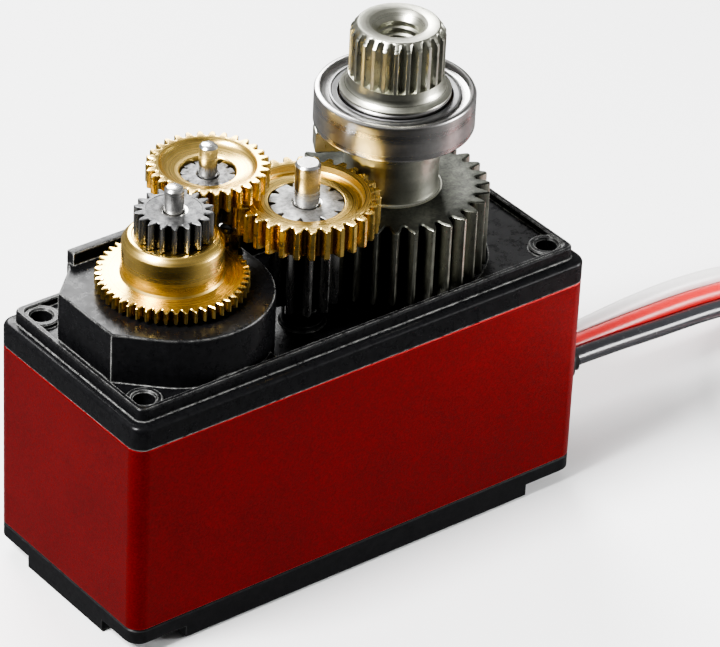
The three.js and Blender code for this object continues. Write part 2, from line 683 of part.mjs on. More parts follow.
// ---- feedback potentiometer ----
function potentiometer() {
  const cavityTop = POT.top - 0.5;
  const body = turned(
    [
      [0, POT.bottom],
      [POT.r, POT.bottom],
      [POT.r, POT.top - 0.2],
      [POT.r - 0.2, POT.top],
      [POT.shaft + 0.12, POT.top],
      [POT.shaft + 0.12, cavityTop],
      [POT.r - 0.7, cavityTop],
      [POT.r - 0.7, POT.bottom + 0.6],
      [0, POT.bottom + 0.6],
    ],
    OUTPUT,
    24,
  );
  add("potentiometer_body", body, boardGreen);
  add("potentiometer_shaft", cylinder(POT.shaft, POT.bottom + 0.9, POT.shaftTop, OUTPUT, 14), brightSteel);
  add("potentiometer_wiper", ring(POT.shaft + 0.02, POT.r - 1.0, 10.0, 10.5, OUTPUT, 20), copper);
  for (let i = 0; i < 3; i++) {
    const y = (i - 1) * 2.2;
    const x = OUTPUT.x + 1.2;
    add(`potentiometer_pin_${i + 1}`, box([x - 0.2, y - 0.25, 3.7], [x + 0.2, y + 0.25, POT.bottom - 0.05]), gold);
  }
}
potentiometer();

// ---- circuit board ----
const boardOutline = prism(roundedRectangle(BOARD.x - 1.4, BOARD.y - 0.3, 0.4), BOARD.bottom, BOARD.top);
add("circuit_board", boardOutline, boardGreen);
add("control_chip", box([0.6, -4.6, BOARD.top + 0.02], [4.6, -0.6, BOARD.top + 0.9]), blackPlastic);
add("motor_driver_chip", box([-13.2, -4.4, BOARD.top + 0.02], [-10.4, -0.4, BOARD.top + 1.0]), blackPlastic);
add("capacitor", cylinder(1.9, BOARD.top + 0.02, 9.4, { x: -12.2, y: 2.6 }, 20), magnetGrey);
add("resonator", box([11.6, 2.0, BOARD.top + 0.02], [13.6, 4.6, BOARD.top + 1.1]), gold);

// ---- lead ----
function tube(points, halfWidth, halfThickness, steps) {
  const path = new THREE.CatmullRomCurve3(points.map((p) => new THREE.Vector3(...p)));
  const section = new THREE.Shape();
  for (let i = 0; i < 8; i++) {
    const angle = ((i + 0.5) * Math.PI) / 4;
    const across = halfThickness * Math.sign(Math.cos(angle)) * Math.min(1, Math.abs(Math.cos(angle)) * 1.2);
    const along = halfWidth * Math.sign(Math.sin(angle)) * Math.min(1, Math.abs(Math.sin(angle)) * 1.08);
    if (i === 0) {
      section.moveTo(across, along);
    } else {
      section.lineTo(across, along);
    }
  }
  return solid(new THREE.ExtrudeGeometry(section, { steps, bevelEnabled: false, extrudePath: path }));
}

function grommet() {
  const slab = (x0, x1, halfY, halfZ) => {
    const section = roundedRectangle(halfY, halfZ, 0.5);
    const made = new THREE.ExtrudeGeometry(section, { depth: x1 - x0, bevelEnabled: false, curveSegments: 2 });
    made.rotateX(Math.PI / 2);
    made.rotateZ(Math.PI / 2);
    made.translate(x0, 0, LEAD.exitZ);
    return solid(made);
  };
  const inside = CASE.x - CASE.wall;
  return joined(
    slab(inside - 0.9, inside - 0.02, 2.7, 0.95),
    slab(inside - 0.1, CASE.x + 0.1, 2.2, 0.95),
    slab(CASE.x + 0.02, CASE.x + 0.9, 2.9, 1.25),
    slab(CASE.x + 0.8, CASE.x + 2.6, 2.45, 1.05),
    slab(CASE.x + 2.5, LEAD.exitX, 2.15, 0.85),
  );
}

function connector() {
  const { width, thickness, length, x, y } = CONNECTOR;
  const turn = (made) => {
    made.rotateZ(-Math.PI / 2);
    made.translate(x, y, thickness / 2 + 0.05);
    return solid(made);
  };
  const block = (w, d, h, cx, cy, cz) => {
    const made = new THREE.BoxGeometry(w, d, h);
    made.translate(cx, cy, cz);
    return turn(made);
  };
  const housing = cut(
    joined(
      block(width, length, thickness, 0, 0, 0),
      block(0.9, length * 0.55, 0.8, 2.0, -length * 0.2, thickness / 2 + 0.2),
    ),
    ...[-1, 0, 1].map((i) => block(1.5, length - 1.6, 1.5, i * 2.54, 1.0, 0)),
  );
  add("connector_housing", housing, blackPlastic);
  for (const i of [-1, 0, 1]) {
    add(`connector_contact_${i + 2}`, block(1.0, 8.5, 1.0, i * 2.54, -0.8, 0), gold);
  }
}

add("cable_grommet", grommet(), rubber);
add("servo_lead", tube(LEAD_POINTS, LEAD.thickness / 2, LEAD.width / 2, 6), leadGrey);
add("lead_coil", ring(COIL.inner, COIL.outer, COIL.bottom, COIL.top, COIL, 40), leadGrey);
add("lead_end", tube(LEAD_END_POINTS, LEAD.width / 2, LEAD.thickness / 2, 8), leadGrey);
connector();

export default servo;
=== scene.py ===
"""Looks for the mini metal-gear servo: its visible pieces in fine mesh, in the CAD's own frame."""

import math

import bmesh
import bpy
from mathutils import Matrix, Vector


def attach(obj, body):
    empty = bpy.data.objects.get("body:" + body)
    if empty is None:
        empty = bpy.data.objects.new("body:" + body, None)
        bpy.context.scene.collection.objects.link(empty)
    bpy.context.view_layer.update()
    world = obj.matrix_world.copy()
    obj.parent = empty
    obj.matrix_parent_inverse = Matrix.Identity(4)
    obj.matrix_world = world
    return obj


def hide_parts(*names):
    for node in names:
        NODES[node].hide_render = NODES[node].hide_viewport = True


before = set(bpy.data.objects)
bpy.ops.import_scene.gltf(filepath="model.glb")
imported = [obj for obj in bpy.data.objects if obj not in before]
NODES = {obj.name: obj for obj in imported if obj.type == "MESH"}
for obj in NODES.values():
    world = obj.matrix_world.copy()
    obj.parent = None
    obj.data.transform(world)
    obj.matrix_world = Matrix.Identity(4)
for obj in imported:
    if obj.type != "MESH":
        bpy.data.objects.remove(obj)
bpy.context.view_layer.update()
MM = 0.001

# ---------------------------------------------------------------- camera
AZIMUTH, ELEVATION, ROLL = (math.radians(a) for a in (-38.988, 32.977, 2.833))
CAMERA_AT = Vector((-0.145505, -0.186038, 0.167564))


def make_camera():
    data = bpy.data.cameras.new("camera")
    data.sensor_fit = "HORIZONTAL"
    data.sensor_width = 36.0
    data.lens = 226.736
    data.clip_start = 0.01
    data.clip_end = 20.0
    back = Vector(
        (
            math.sin(AZIMUTH) * math.cos(ELEVATION),
            -math.cos(AZIMUTH) * math.cos(ELEVATION),
            math.sin(ELEVATION),
        )
    )
    right = Vector((math.cos(AZIMUTH), math.sin(AZIMUTH), 0.0))
    up = back.cross(right)
    right, up = (
        right * math.cos(ROLL) + up * math.sin(ROLL),
        up * math.cos(ROLL) - right * math.sin(ROLL),
    )
    camera = bpy.data.objects.new("camera", data)
    matrix = Matrix((right, up, back)).transposed().to_4x4()
    matrix.translation = CAMERA_AT
    camera.matrix_world = matrix
    bpy.context.scene.collection.objects.link(camera)
    bpy.context.scene.camera = camera


make_camera()

# ---------------------------------------------------------------- dimensions, in mm
CASE_X, CASE_Y, CASE_R = 17.3, 7.44, 1.0
OUTPUT = (6.95, 0.0)
THIRD = (-0.604, -1.3)
SECOND = (-4.925, 3.006)
FIRST = (-9.76, -0.21)
MOTOR_DISTANCE, MOTOR_ANGLE = 5.287, math.radians(16.5)
MOTOR = (
    FIRST[0] + MOTOR_DISTANCE * math.cos(MOTOR_ANGLE),
    FIRST[1] + MOTOR_DISTANCE * math.sin(MOTOR_ANGLE),
)
PRESSURE = math.radians(25)
BACKLASH = 0.07
OUTPUT_TEETH, THIRD_TEETH, SECOND_TEETH, FIRST_TEETH = 32, 30, 30, 48
THIRD_PINION, SECOND_PINION, FIRST_PINION, MOTOR_PINION = 10, 12, 18, 8
SPLINE_TEETH = 25
CORNERS = [(-15.42, -5.4), (15.42, -5.4), (15.42, 5.4), (-15.42, 5.4)]
RIM_INSET = 0.66  # from the case's outline to the tray's raised rim
RIM_WIDTH = 0.45
SMOOTH_ANGLE = 32.0  # degrees, edges sharper than this stay sharp
ON_AXIS = 1e-6  # a radius below this is on the axis
FACE_BAND = 0.08  # to either side of a top face, in the materials
GAP_SHADE_DEPTH = 0.07  # under a top face, where the painted shade between the teeth starts


# ---------------------------------------------------------------- node materials
class Nodes:
    """A material's node tree, with short calls for the nodes used here."""

    def __init__(self, name):
        self.material = bpy.data.materials.new(name)
        self.material.use_nodes = True
        self.tree = self.material.node_tree
        self.shader = self.tree.nodes["Principled BSDF"]

    def add(self, kind, **settings):
        node = self.tree.nodes.new(kind)
        for key, value in settings.items():
            setattr(node, key, value)
        return node

    def link(self, source, target):
        self.tree.links.new(source, target)

    def place(self):
        return self.add("ShaderNodeTexCoord").outputs["Object"]

    def noise(self, scale, detail=4.0, rough=0.55, vector=None):
        node = self.add("ShaderNodeTexNoise")
        node.inputs["Scale"].default_value = scale
        node.inputs["Detail"].default_value = detail
        node.inputs["Roughness"].default_value = rough
        self.link(vector or self.place(), node.inputs["Vector"])
        return node.outputs["Fac"]

    def math(self, operation, a, b=0.0):
        node = self.add("ShaderNodeMath", operation=operation)
        for socket, value in zip(node.inputs, (a, b)):
            if isinstance(value, (int, float)):
                socket.default_value = value
            else:
                self.link(value, socket)
        return node.outputs[0]

    def ramp(self, fac, *stops):
        node = self.add("ShaderNodeValToRGB")
        elements = node.color_ramp.elements
        while len(elements) < len(stops):
            elements.new(0.5)
        for element, (at, colour) in zip(elements, stops):
            element.position = at
            if isinstance(colour, (int, float)):
                colour = (colour, colour, colour)
            element.color = (*colour, 1.0)
        self.link(fac, node.inputs["Fac"])
        return node.outputs["Color"]

    def mix(self, fac, a, b):
        node = self.add("ShaderNodeMix", data_type="RGBA")
        for socket, value in ((node.inputs[0], fac), (node.inputs[6], a), (node.inputs[7], b)):
            if isinstance(value, tuple):
                socket.default_value = (*value, 1.0)
            elif isinstance(value, (int, float)):
                socket.default_value = value
            else:
                self.link(value, socket)
        return node.outputs[2]

    def about_axis(self, centre):
        """The squared distance from a vertical axis through centre (mm), and the height, both in metres."""
        parts = self.add("ShaderNodeSeparateXYZ")
        self.link(self.place(), parts.inputs[0])
        x = self.math("SUBTRACT", parts.outputs[0], centre[0] * MM)
        y = self.math("SUBTRACT", parts.outputs[1], centre[1] * MM)
        squares = self.math("ADD", self.math("MULTIPLY", x, x), self.math("MULTIPLY", y, y))
        return squares, parts.outputs[2]

    def turned_marks(self, centre, scale=9000.0, stretch=0.12):
        """Rings of a lathe tool about a vertical axis through centre (mm), drawn out along it by stretch."""
        squares, height = self.about_axis(centre)
        joined = self.add("ShaderNodeCombineXYZ")
        self.link(self.math("SQRT", squares), joined.inputs[0])
        self.link(self.math("MULTIPLY", height, stretch), joined.inputs[1])
        return self.noise(scale, 3.0, 0.7, joined.outputs[0])

    def flat_face(self, centre, inner, top):
        """1 on the level face at height top outside the radius inner."""
        squares, height = self.about_axis(centre)
        outside = self.math("GREATER_THAN", squares, (inner * MM) ** 2)
        above = self.math("GREATER_THAN", height, (top - FACE_BAND) * MM)
        below = self.math("LESS_THAN", height, (top + FACE_BAND) * MM)
        return self.math("MULTIPLY", outside, self.math("MULTIPLY", above, below))

    def edge(self, radius):
        """1 on edges that stick out or fold in, 0 on open faces."""
        bevel = self.add("ShaderNodeBevel", samples=4)
        bevel.inputs["Radius"].default_value = radius * MM
        geometry = self.add("ShaderNodeNewGeometry")
        dot = self.add("ShaderNodeVectorMath", operation="DOT_PRODUCT")
        self.link(bevel.outputs[0], dot.inputs[0])
        self.link(geometry.outputs["Normal"], dot.inputs[1])
        return self.math("SUBTRACT", 1.0, dot.outputs["Value"])

    def painted_gap_shade(self, centre, root, tip, top):
        """Mask of painted shade: 1 in the gaps between the teeth under the top face, 0 on the tips and
        inside the root circle.
        """
        squares, height = self.about_axis(centre)
        r = self.math("DIVIDE", self.math("SQRT", squares), MM)
        tooth = tip - root
        fall = self.math("DIVIDE", self.math("SUBTRACT", tip - 0.06 * tooth, r), tooth)
        outside = self.math("GREATER_THAN", r, root - 0.12)
        below = self.math("LESS_THAN", height, (top - GAP_SHADE_DEPTH) * MM)
        fall = self.ramp(fall, (0.2, 0.0), (0.8, 1.0))
        return self.math("MULTIPLY", self.math("MULTIPLY", fall, outside), below)

    def bump(self, height, strength, distance):
        node = self.add("ShaderNodeBump")
        node.inputs["Strength"].default_value = strength
        node.inputs["Distance"].default_value = distance * MM
        self.link(height, node.inputs["Height"])
        self.link(node.outputs[0], self.shader.inputs["Normal"])

    def set(self, **constants):
        for key, value in constants.items():
            self.shader.inputs[key.replace("_", " ")].default_value = value
        return self

    def colour(self, source):
        self.link(source, self.shader.inputs["Base Color"])

    def roughness(self, source):
        self.link(source, self.shader.inputs["Roughness"])


DULL = ((0.022, 0.023, 0.02), (0.07, 0.072, 0.06))


def metal(name, light, dark, rough, centre=None, marks=0.1, teeth=None, dull=None, faces=DULL):
    """Machined metal. centre: rings of the tool about it. teeth (root, tip, top): painted shade, the dark
    tone, in the gaps between the teeth.
    dull (radius, height): a dull top face outside that radius, mottled between the two tones of faces."""
    made = Nodes(name).set(Metallic=1.0)
    fine = made.turned_marks(centre) if centre else made.noise(6000.0, 3.0)
    broad = made.noise(900.0, 4.0, 0.7)
    tone = made.mix(made.ramp(broad, (0.35, 0.0), (0.7, 1.0)), light, tuple(c * 0.72 for c in light))
    if teeth:
        # painted shade: the gaps between the teeth take the dark tone
        tone = made.mix(made.painted_gap_shade(centre, *teeth), tone, dark)
    gloss = made.ramp(fine, (0.3, max(0.04, rough - 0.06)), (0.7, rough + 0.1))
    if dull:
        face = made.flat_face(centre, *dull)
        mottle = made.noise(2600.0, 5.0, 0.8)
        tone = made.mix(face, tone, made.mix(made.ramp(mottle, (0.35, 0.0), (0.65, 1.0)), *faces))
        gloss = made.mix(face, gloss, (0.52, 0.52, 0.52))
    made.colour(tone)
    made.roughness(gloss)
    made.bump(fine, marks, 0.02)
    return made.material


def plastic(name, base, worn_and_highlight, rough, wear_and_highlight=1.0, grain=2600.0):
    """Moulded plastic with a fine grain, and paler edges in patches: partly rubbed wear, partly a painted
    highlight along the edges.
    """
    made = Nodes(name).set(Specular_IOR_Level=0.12)
    grainy = made.noise(grain, 5.0, 0.7)
    patch_noise = made.noise(1500.0, 6.0, 0.8)
    edge = made.ramp(made.edge(0.16), (0.03, 0.0), (0.2, 1.0))
    patches = made.ramp(patch_noise, (0.38, 0.12), (0.58, 1.0))
    mask = made.math("MULTIPLY", made.math("MULTIPLY", edge, patches), wear_and_highlight)
    tone = made.mix(made.ramp(grainy, (0.3, 0.0), (0.7, 1.0)), base, tuple(c * 1.7 + 0.002 for c in base))
    # the pale edge colour: part wear, part painted highlight
    made.colour(made.mix(mask, tone, worn_and_highlight))
    made.roughness(made.ramp(patch_noise, (0.3, rough - 0.1), (0.7, rough + 0.1)))
    made.bump(grainy, 0.25, 0.03)
    return made.material


def simple(name, base, rough, metallic=0.0, grain=3000.0, strength=0.15, vary=0.2):
    made = Nodes(name).set(Metallic=metallic)
    speck = made.noise(grain, 4.0, 0.65)
    darker = tuple(c * (1 - vary) for c in base)
    paler = tuple(min(1, c * (1 + vary)) for c in base)
    made.colour(made.mix(speck, darker, paler))
    made.roughness(made.ramp(speck, (0.3, max(0.03, rough - 0.07)), (0.7, rough + 0.07)))
    made.bump(speck, strength, 0.02)
    return made.material


def anodised():
    """Red anodised aluminium: a satin blasted grain, and a painted highlight: brighter red along the edges.
    """
    made = Nodes("red_anodised").set(Metallic=0.78)
    grain = made.noise(8000.0, 6.0, 0.8)
    broad = made.noise(120.0, 3.0)
    tone = made.mix(made.ramp(broad, (0.3, 0.0), (0.7, 1.0)), (0.18, 0.006, 0.006), (0.13, 0.0045, 0.0045))
    tone = made.mix(made.ramp(grain, (0.4, 0.0), (0.7, 0.5)), tone, (0.5, 0.02, 0.022))
    # painted highlight: the edges take a brighter red
    edge = made.ramp(made.edge(0.14), (0.02, 0.0), (0.16, 0.9))
    made.colour(made.mix(edge, tone, (0.85, 0.04, 0.04)))
    made.roughness(made.ramp(grain, (0.3, 0.34), (0.7, 0.48)))
    made.bump(grain, 0.3, 0.03)
    return made.material


# each pair: the metal's tone, then the dark tone painted as shade in the gaps between its teeth
BRASS = ((0.85, 0.6, 0.19), (0.3, 0.16, 0.035))
STEEL = ((0.55, 0.54, 0.52), (0.03, 0.03, 0.03))
GREENISH = ((0.5, 0.5, 0.425), (0.016, 0.017, 0.014))
BRIGHT = ((0.72, 0.71, 0.69), (0.3, 0.3, 0.3))

RED = anodised()
# pale edge colours: part wear, part painted highlight
BLACK = plastic("black_nylon", (0.003, 0.003, 0.0034), (0.6, 0.6, 0.58), 0.3)
BLACK_PLAIN = plastic("black_moulding", (0.004, 0.004, 0.0045), (0.09, 0.09, 0.09), 0.4, 0.5)
RUBBER = simple("black_rubber", (0.012, 0.012, 0.012), 0.6)
GOLD = simple("gold_plate", (0.85, 0.6, 0.22), 0.25, 1.0)
SCREW = metal("blackened_screw", (0.12, 0.12, 0.125), (0.02, 0.02, 0.02), 0.35)
BRONZE = metal("sintered_bronze", (0.42, 0.24, 0.12), (0.1, 0.05, 0.02), 0.45)
CHROME = metal("bright_steel", *BRIGHT, 0.14)
COPPER = simple("copper_winding", (0.6, 0.22, 0.08), 0.35, 1.0, 1500.0)
BOARD = simple("green_board", (0.02, 0.11, 0.05), 0.45)
CHIP = simple("black_epoxy", (0.012, 0.012, 0.013), 0.5)
GREY = simple("grey_magnet", (0.22, 0.22, 0.23), 0.45, 0.8)
WIRES = [
    simple("white_insulation", (0.78, 0.76, 0.75), 0.36, 0.0, 1800.0, 0.12, 0.06),
    simple("red_insulation", (0.6, 0.03, 0.03), 0.34, 0.0, 1800.0, 0.12, 0.1),
    simple("black_insulation", (0.03, 0.03, 0.034), 0.22, 0.0, 1800.0, 0.12, 0.1),
]


# ---------------------------------------------------------------- mesh building, in mm
def shape(name, vertices, faces, smooth=SMOOTH_ANGLE):
    mesh = bpy.data.meshes.new(name)
    mesh.from_pydata([[c * MM for c in v] for v in vertices], [], faces)
    return wrap(name, mesh, smooth)


def wrap(name, mesh, smooth=SMOOTH_ANGLE):
    tidy(mesh)
    sharpen(mesh, smooth)
    made = bpy.data.objects.new(name, mesh)
    bpy.context.scene.collection.objects.link(made)
    return made


def tidy(mesh):
    """Faces outwards, no doubled points."""
    work = bmesh.new()
    work.from_mesh(mesh)
    bmesh.ops.remove_doubles(work, verts=work.verts, dist=1e-7)
    bmesh.ops.recalc_face_normals(work, faces=work.faces)
    work.to_mesh(mesh)
    work.free()


def sharpen(mesh, angle):
    mesh.polygons.foreach_set("use_smooth", [True] * len(mesh.polygons))
    mesh.set_sharp_from_angle(angle=math.radians(angle))


def loft(rings, closed=False, caps=True):
    """Faces between rings that all hold the same number of points."""
    count = len(rings[0])
    vertices = [p for one in rings for p in one]
    faces = []
    pairs = [(i, i + 1) for i in range(len(rings) - 1)]
    if closed:
        pairs.append((len(rings) - 1, 0))
    for a, b in pairs:
        for i in range(count):
            j = (i + 1) % count
            faces.append((a * count + i, a * count + j, b * count + j, b * count + i))
    if caps and not closed:
        faces.append(tuple(range(count)))
        faces.append(tuple(range((len(rings) - 1) * count, len(rings) * count)))
    return vertices, faces


def circle(centre, r, z, angles):
    return [(centre[0] + r * math.cos(a), centre[1] + r * math.sin(a), z) for a in angles]


def placed(points, centre, z):
    return [(centre[0] + x, centre[1] + y, z) for x, y in points]


def turned(name, centre, profile, segments=96, smooth=SMOOTH_ANGLE):
    """A lathed body. A profile that starts and ends on the axis is closed there, any other one is a ring."""
    angles = [2 * math.pi * i / segments for i in range(segments)]
    solid = profile[0][0] < ON_AXIS
    if solid:
        profile = profile[1:-1]
    rings = [circle(centre, r, z, angles) for r, z in profile]
    vertices, faces = loft(rings, closed=not solid, caps=solid)
    return shape(name, vertices, faces, smooth)


def rounded(half_x, half_y, r, steps=10):
    """A rounded rectangle's outline about the origin, anticlockwise."""
    points = []
    for k, (sx, sy) in enumerate(((1, -1), (1, 1), (-1, 1), (-1, -1))):
        for i in range(steps + 1):
            a = math.radians(-90 + 90 * k + 90 * i / steps)
            x = sx * (half_x - r) + r * math.cos(a)
            y = sy * (half_y - r) + r * math.sin(a)
            points.append((x, y))
    return points


def offset(points, d):
    """A closed outline (anticlockwise) moved inwards by d."""
    out = []
    count = len(points)
    for i, (x, y) in enumerate(points):
        ax, ay = points[i - 1]
        bx, by = points[(i + 1) % count]
        n1 = Vector((y - ay, ax - x)).normalized()
        n2 = Vector((by - y, x - bx)).normalized()
        n = n1 + n2
        if n.length < 1e-6:
            n = n1
        n.normalize()
        scale = min(2.0, 1.0 / max(0.3, n.dot(n1)))
        out.append((x - n.x * d * scale, y - n.y * d * scale))
    return out


def level(points, z):
    return [(x, y, z) for x, y in points]


def prism(name, points, bottom, top, chamfer=0.0, foot=0.0):
    """A prism with its top edge, and its bottom edge if foot is set, cut back."""
    rings = []
    if foot:
        rings.append(level(offset(points, foot), bottom))
    rings.append(level(points, bottom + foot))
    rings.append(level(points, top - chamfer))
    if chamfer:
        rings.append(level(offset(points, chamfer * 0.35), top - chamfer * 0.35))
        rings.append(level(offset(points, chamfer), top))
    return shape(name, *loft(rings))


def block(name, low, high, chamfer=0.05):
    points = [(low[0], low[1]), (high[0], low[1]), (high[0], high[1]), (low[0], high[1])]
    return prism(name, points, low[2], high[2], chamfer, chamfer)


def carve(target, tool, operation="DIFFERENCE"):
    modifier = target.modifiers.new("cut", "BOOLEAN")
    modifier.operation = operation
    modifier.solver = "EXACT"
    modifier.object = tool
    depsgraph = bpy.context.evaluated_depsgraph_get()
    mesh = bpy.data.meshes.new_from_object(target.evaluated_get(depsgraph))
    target.modifiers.clear()
    target.data = mesh
    sharpen(mesh, SMOOTH_ANGLE)
    bpy.data.objects.remove(tool)
    return target


def merge(name, *objects):
    """Several closed shells as one object."""
    work = bmesh.new()
    for one in objects:
        work.from_mesh(one.data)
    mesh = bpy.data.meshes.new(name)
    work.to_mesh(mesh)
    work.free()
    for one in objects:
        bpy.data.objects.remove(one)
    sharpen(mesh, SMOOTH_ANGLE)
    made = bpy.data.objects.new(name, mesh)
    bpy.context.scene.collection.objects.link(made)
    return made


def piece(made, body, slot, materials, *nodes, weighted=False):
    """Gives a finished mesh its material and the CAD body it moves with, and hides the CAD nodes it stands
    for.
    """
    for material in materials if isinstance(materials, list) else [materials]:
        made.data.materials.append(material)
    if weighted:
        modifier = made.modifiers.new("normals", "WEIGHTED_NORMAL")
        modifier.keep_sharp = True
    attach(made, body)
    if nodes:
        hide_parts(*nodes)
    return made


# ---------------------------------------------------------------- lead
COIL = (48.9, -17.9)
COIL_R, COIL_END_R = 18.5, 13.5
COIL_TURNS, COIL_STEPS = 1.5, 44
LEAD_EXIT = 22.0  # where it leaves the grommet, along x
LEAD_SPACING = 1.1  # between the points of its centreline
WIRE_R, WIRE_OFFSET = 0.6, 1.19


def lead_path():
    """The lead's centreline: out of the grommet, down onto its coil and into the connector."""
    points = [(LEAD_EXIT, 0, 4.0), (24, 0, 4.0), (27, 0, 4.02), (30, 0, 4.0), (33, 0, 3.9), (36, 0, 3.62)]
    points += [(39, 0.1, 3.15), (42, 0.2, 2.6), (44.5, 0.35, 2.2), (46.7, 0.5, 2.0)]
    for i in range(COIL_STEPS + 1):
        turn = i / COIL_STEPS * COIL_TURNS
        r = COIL_R - (COIL_R - COIL_END_R) * smooth_step((turn - 1.3) / 0.2)
        z = 1.95 - 1.25 * smooth_step((turn - 0.52) / 0.36)
        a = math.pi / 2 - turn * 2 * math.pi
        points.append((COIL[0] + r * math.cos(a), COIL[1] + r * math.sin(a), z))
    points += [(46.1, -30.9, 0.7), (43.3, -28.8, 0.7), (41.5, -25.6, 0.75), (41.3, -22.2, 0.9)]
    points += [(42.7, -19.3, 1.1), (45.3, -17.4, 1.28), (47.1, -16.95, 1.34), (48.6, -16.9, 1.35)]
    return resampled(points, LEAD_SPACING)


def smooth_step(t):
    t = min(1.0, max(0.0, t))
    return t * t * (3 - 2 * t)


def resampled(points, spacing, steps=12):
    """Catmull-Rom through the points, then points at an even spacing."""
    fine = []
    p = [Vector(q) for q in points]
    for i in range(len(p) - 1):
        a, b = p[max(0, i - 1)], p[i]
        c, d = p[i + 1], p[min(len(p) - 1, i + 2)]
        for k in range(steps):
            t = k / steps
            square, cube = 2 * a - 5 * b + 4 * c - d, 3 * b - a - 3 * c + d
            fine.append(0.5 * (2 * b + (c - a) * t + square * t**2 + cube * t**3))
    fine.append(p[-1])
    lengths = [0.0]
    for a, b in zip(fine, fine[1:]):
        lengths.append(lengths[-1] + (b - a).length)
    count = round(lengths[-1] / spacing)
    out = []
    at = 0
    for i in range(count + 1):
        want = lengths[-1] * i / count
        while at < len(lengths) - 2 and lengths[at + 1] < want:
            at += 1
        share = (want - lengths[at]) / max(1e-9, lengths[at + 1] - lengths[at])
        out.append(fine[at].lerp(fine[at + 1], share))
    return out


def wire_rings(path, side, r, sides=14):
    """The rings of one round wire that runs beside the centreline, side mm off it.
    The flat lead twists a little on its way down from the case."""
    rings = []
    for i, point in enumerate(path):
        tangent = (path[min(i + 1, len(path) - 1)] - path[max(i - 1, 0)]).normalized()
        across = Vector((-tangent.y, tangent.x, 0)).normalized()
        up = tangent.cross(across)
        up = up if up.z > 0 else -up
        run = point.x - LEAD_EXIT if point.z > 2.0 else 99.0
        twist = math.radians(30) * smooth_step(run / 11) * (1 - smooth_step((run - 13) / 8))
        cos, sin = math.cos(twist), math.sin(twist)
        across, up = across * cos + up * sin, up * cos - across * sin
        centre = point + across * side
        angles = [2 * math.pi * k / sides for k in range(sides)]
        rings.append([tuple(centre + across * r * math.cos(a) + up * r * math.sin(a)) for a in angles])
    return rings


path = lead_path()
vertices, faces, owners = [], [], []
for index, side in enumerate((WIRE_OFFSET, 0.0, -WIRE_OFFSET)):
    v, f = loft(wire_rings(path, side, WIRE_R))
    start = len(vertices)
    vertices += v
    faces += [tuple(start + i for i in face) for face in f]
    owners += [index] * len(f)
lead = shape("lead_wires", vertices, faces, smooth=60.0)
piece(lead, "case", "lead_insulation", WIRES, "servo_lead", "lead_coil", "lead_end")
for polygon, owner in zip(lead.data.polygons, owners):
    polygon.material_index = owner


# ---------------------------------------------------------------- connector at the lead's end
CONTACT_PITCH, WIRE_HOLE_PITCH = 2.54, 1.25


def make_connector():
    """The housing with its three openings, and the three contacts in them."""
    at = (55.2, -16.9)

    def local(x0, x1, y0, y1, z0, z1, chamfer):
        return block("part", (at[0] + x0, at[1] + y0, z0), (at[0] + x1, at[1] + y1, z1), chamfer)

    housing = local(-7, 7, -3.9, 3.9, 0.05, 2.65, 0.25)
    for i in (-1, 0, 1):
        y, wire_y = i * CONTACT_PITCH, i * WIRE_HOLE_PITCH
        carve(housing, local(-5.9, 7.5, y - 0.72, y + 0.72, 0.63, 2.07, 0.05))
        carve(housing, local(-7.5, -5.0, wire_y - 0.66, wire_y + 0.66, 0.7, 2.0, 0.05))
        carve(housing, local(-2.6, 0.6, y - 0.5, y + 0.5, 2.0, 3.0, 0.05))
    rib = local(-4.6, 3.2, -2.5, -1.5, 2.5, 2.98, 0.12)
    made = merge("connector_shell", housing, rib)
    piece(made, "case", "black_plastic", BLACK_PLAIN, "connector_housing", weighted=True)
    pieces = [made]
    for k, i in enumerate((1, 0, -1)):
        y = i * CONTACT_PITCH
        socket = local(-4.9, 3.4, y - 0.5, y + 0.5, 0.85, 1.85, 0.12)
        carve(socket, local(-1.0, 4.0, y - 0.3, y + 0.3, 1.05, 1.65, 0.02))
        made = piece(socket, "case", "gold_plate", GOLD, f"connector_contact_{3 - k}", weighted=True)
        made.name = f"connector_socket_{k + 1}"
        pieces.append(made)
    return pieces


connector_pieces = make_connector()


def make_grommet():
    """The rubber strain relief: a flange on the case's end and a ribbed, narrowing tail."""
    rings = []
    plan = [(15.55, 2.65, 0.9), (16.4, 2.65, 0.9), (16.4, 2.1, 0.85), (17.3, 2.1, 0.85), (17.33, 2.75, 1.1)]
    plan += [(17.45, 2.9, 1.25), (18.0, 2.9, 1.25), (18.2, 2.7, 1.1)]
    x = 18.3
    for k in range(4):
        wide = 2.42 - 0.08 * k
        plan += [(x, wide, 1.05 - 0.04 * k), (x + 0.55, wide, 1.04 - 0.04 * k)]
        plan += [(x + 0.62, wide - 0.3, 0.8 - 0.02 * k), (x + 0.86, wide - 0.3, 0.8 - 0.02 * k)]
        x += 0.93
    plan += [(22.15, 2.0, 0.72)]
    for x, half_y, half_z in plan:
        rings.append([(x, y, 4.0 + z) for y, z in rounded(half_y, half_z, min(half_z * 0.8, 0.55), 6)])
    return piece(shape("strain_relief", *loft(rings)), "case", "rubber", RUBBER, "cable_grommet")


grommet = make_grommet()


# ---------------------------------------------------------------- gears
def involute(a):
    return math.tan(a) - a


def gear_outline(teeth, tip, root, pitch, phase, flank=6):
    """A gear's outline about its own axis: involute flanks, eased roots and tips."""
    base = pitch * math.cos(PRESSURE)
    half_pitch = math.pi / (2 * teeth) - BACKLASH / 4 / pitch

    def half(r):
        return half_pitch + involute(PRESSURE) - involute(math.acos(min(1.0, base / r)))

    ease = (tip - root) * 0.1
    radii = [root + ease + (tip - root - 1.6 * ease) * i / (flank - 1) for i in range(flank)]
    side = [(root, half(root) + ease * 0.8 / root)]
    side += [(r, half(r)) for r in radii]
    side += [(tip, half(tip) * 0.86)]
    points = []
    for tooth in range(teeth):
        middle = phase + 2 * math.pi * tooth / teeth
        rising = [(r, middle - h) for r, h in side]
        falling = [(r, middle + h) for r, h in reversed(side)]
        points += rising + [(tip, middle)] + falling + [(root, middle + math.pi / teeth)]
    return [(r * math.cos(a), r * math.sin(a)) for r, a in points]


